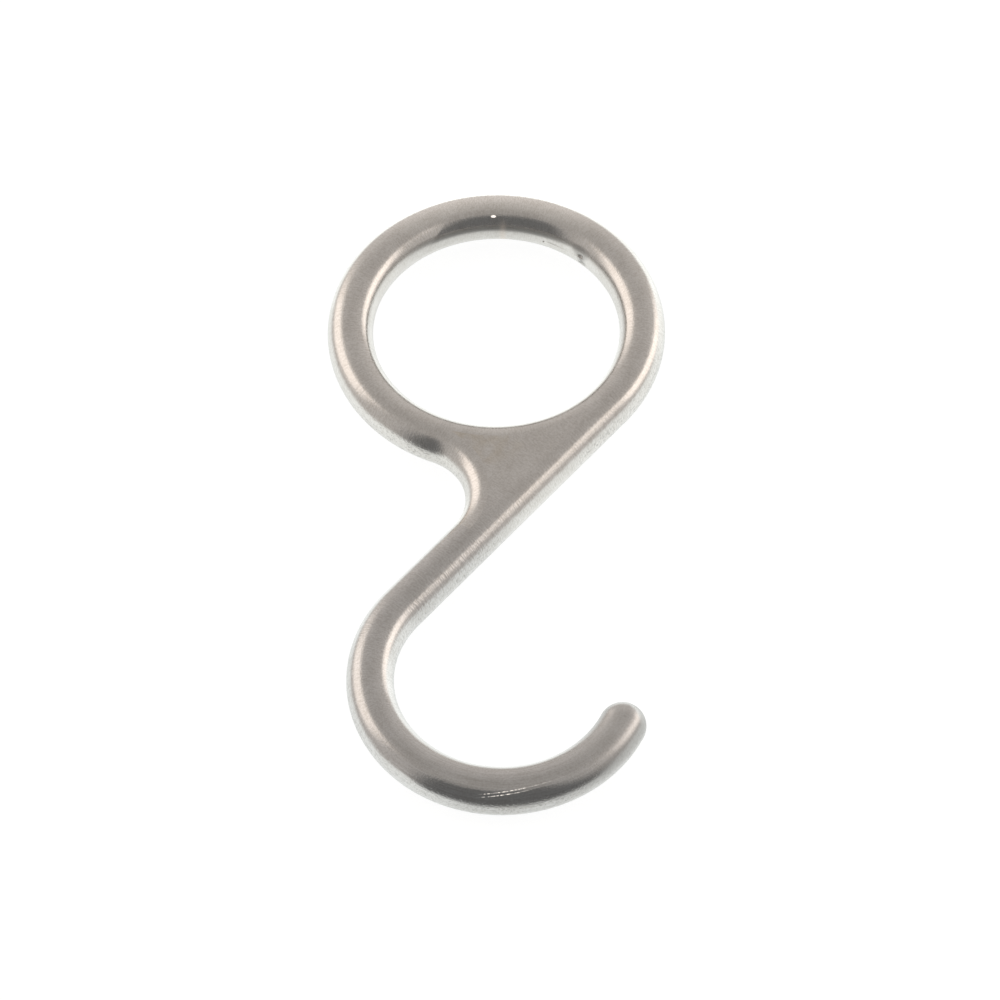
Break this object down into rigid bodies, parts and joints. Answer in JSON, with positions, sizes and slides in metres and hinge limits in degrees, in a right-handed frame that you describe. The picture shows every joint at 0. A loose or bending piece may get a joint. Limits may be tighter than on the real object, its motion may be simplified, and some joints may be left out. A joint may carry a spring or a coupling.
{
  "type": "kitchen rail hook",
  "caption": "One-piece satin steel hook for a kitchen rail: a closed ring that goes over the rail, a slanting arm with a web in its corner, and an open round-tipped bend for a utensil.",
  "frame": {"origin": "centre of the ring, halfway through the bar", "axes": "+Z along the ring's axis, out of the face that shows as the hook lies flat; +Y from the bend up to the ring; +X towards the bend's open side"},
  "size_m": [0.0322, 0.07, 0.0044],
  "materials": {
    "stainless_steel": "satin, with fine brush marks across the bar"
  },
  "bodies": {
    "root": {"hook": "stainless_steel"}
  },
  "joints": []
}
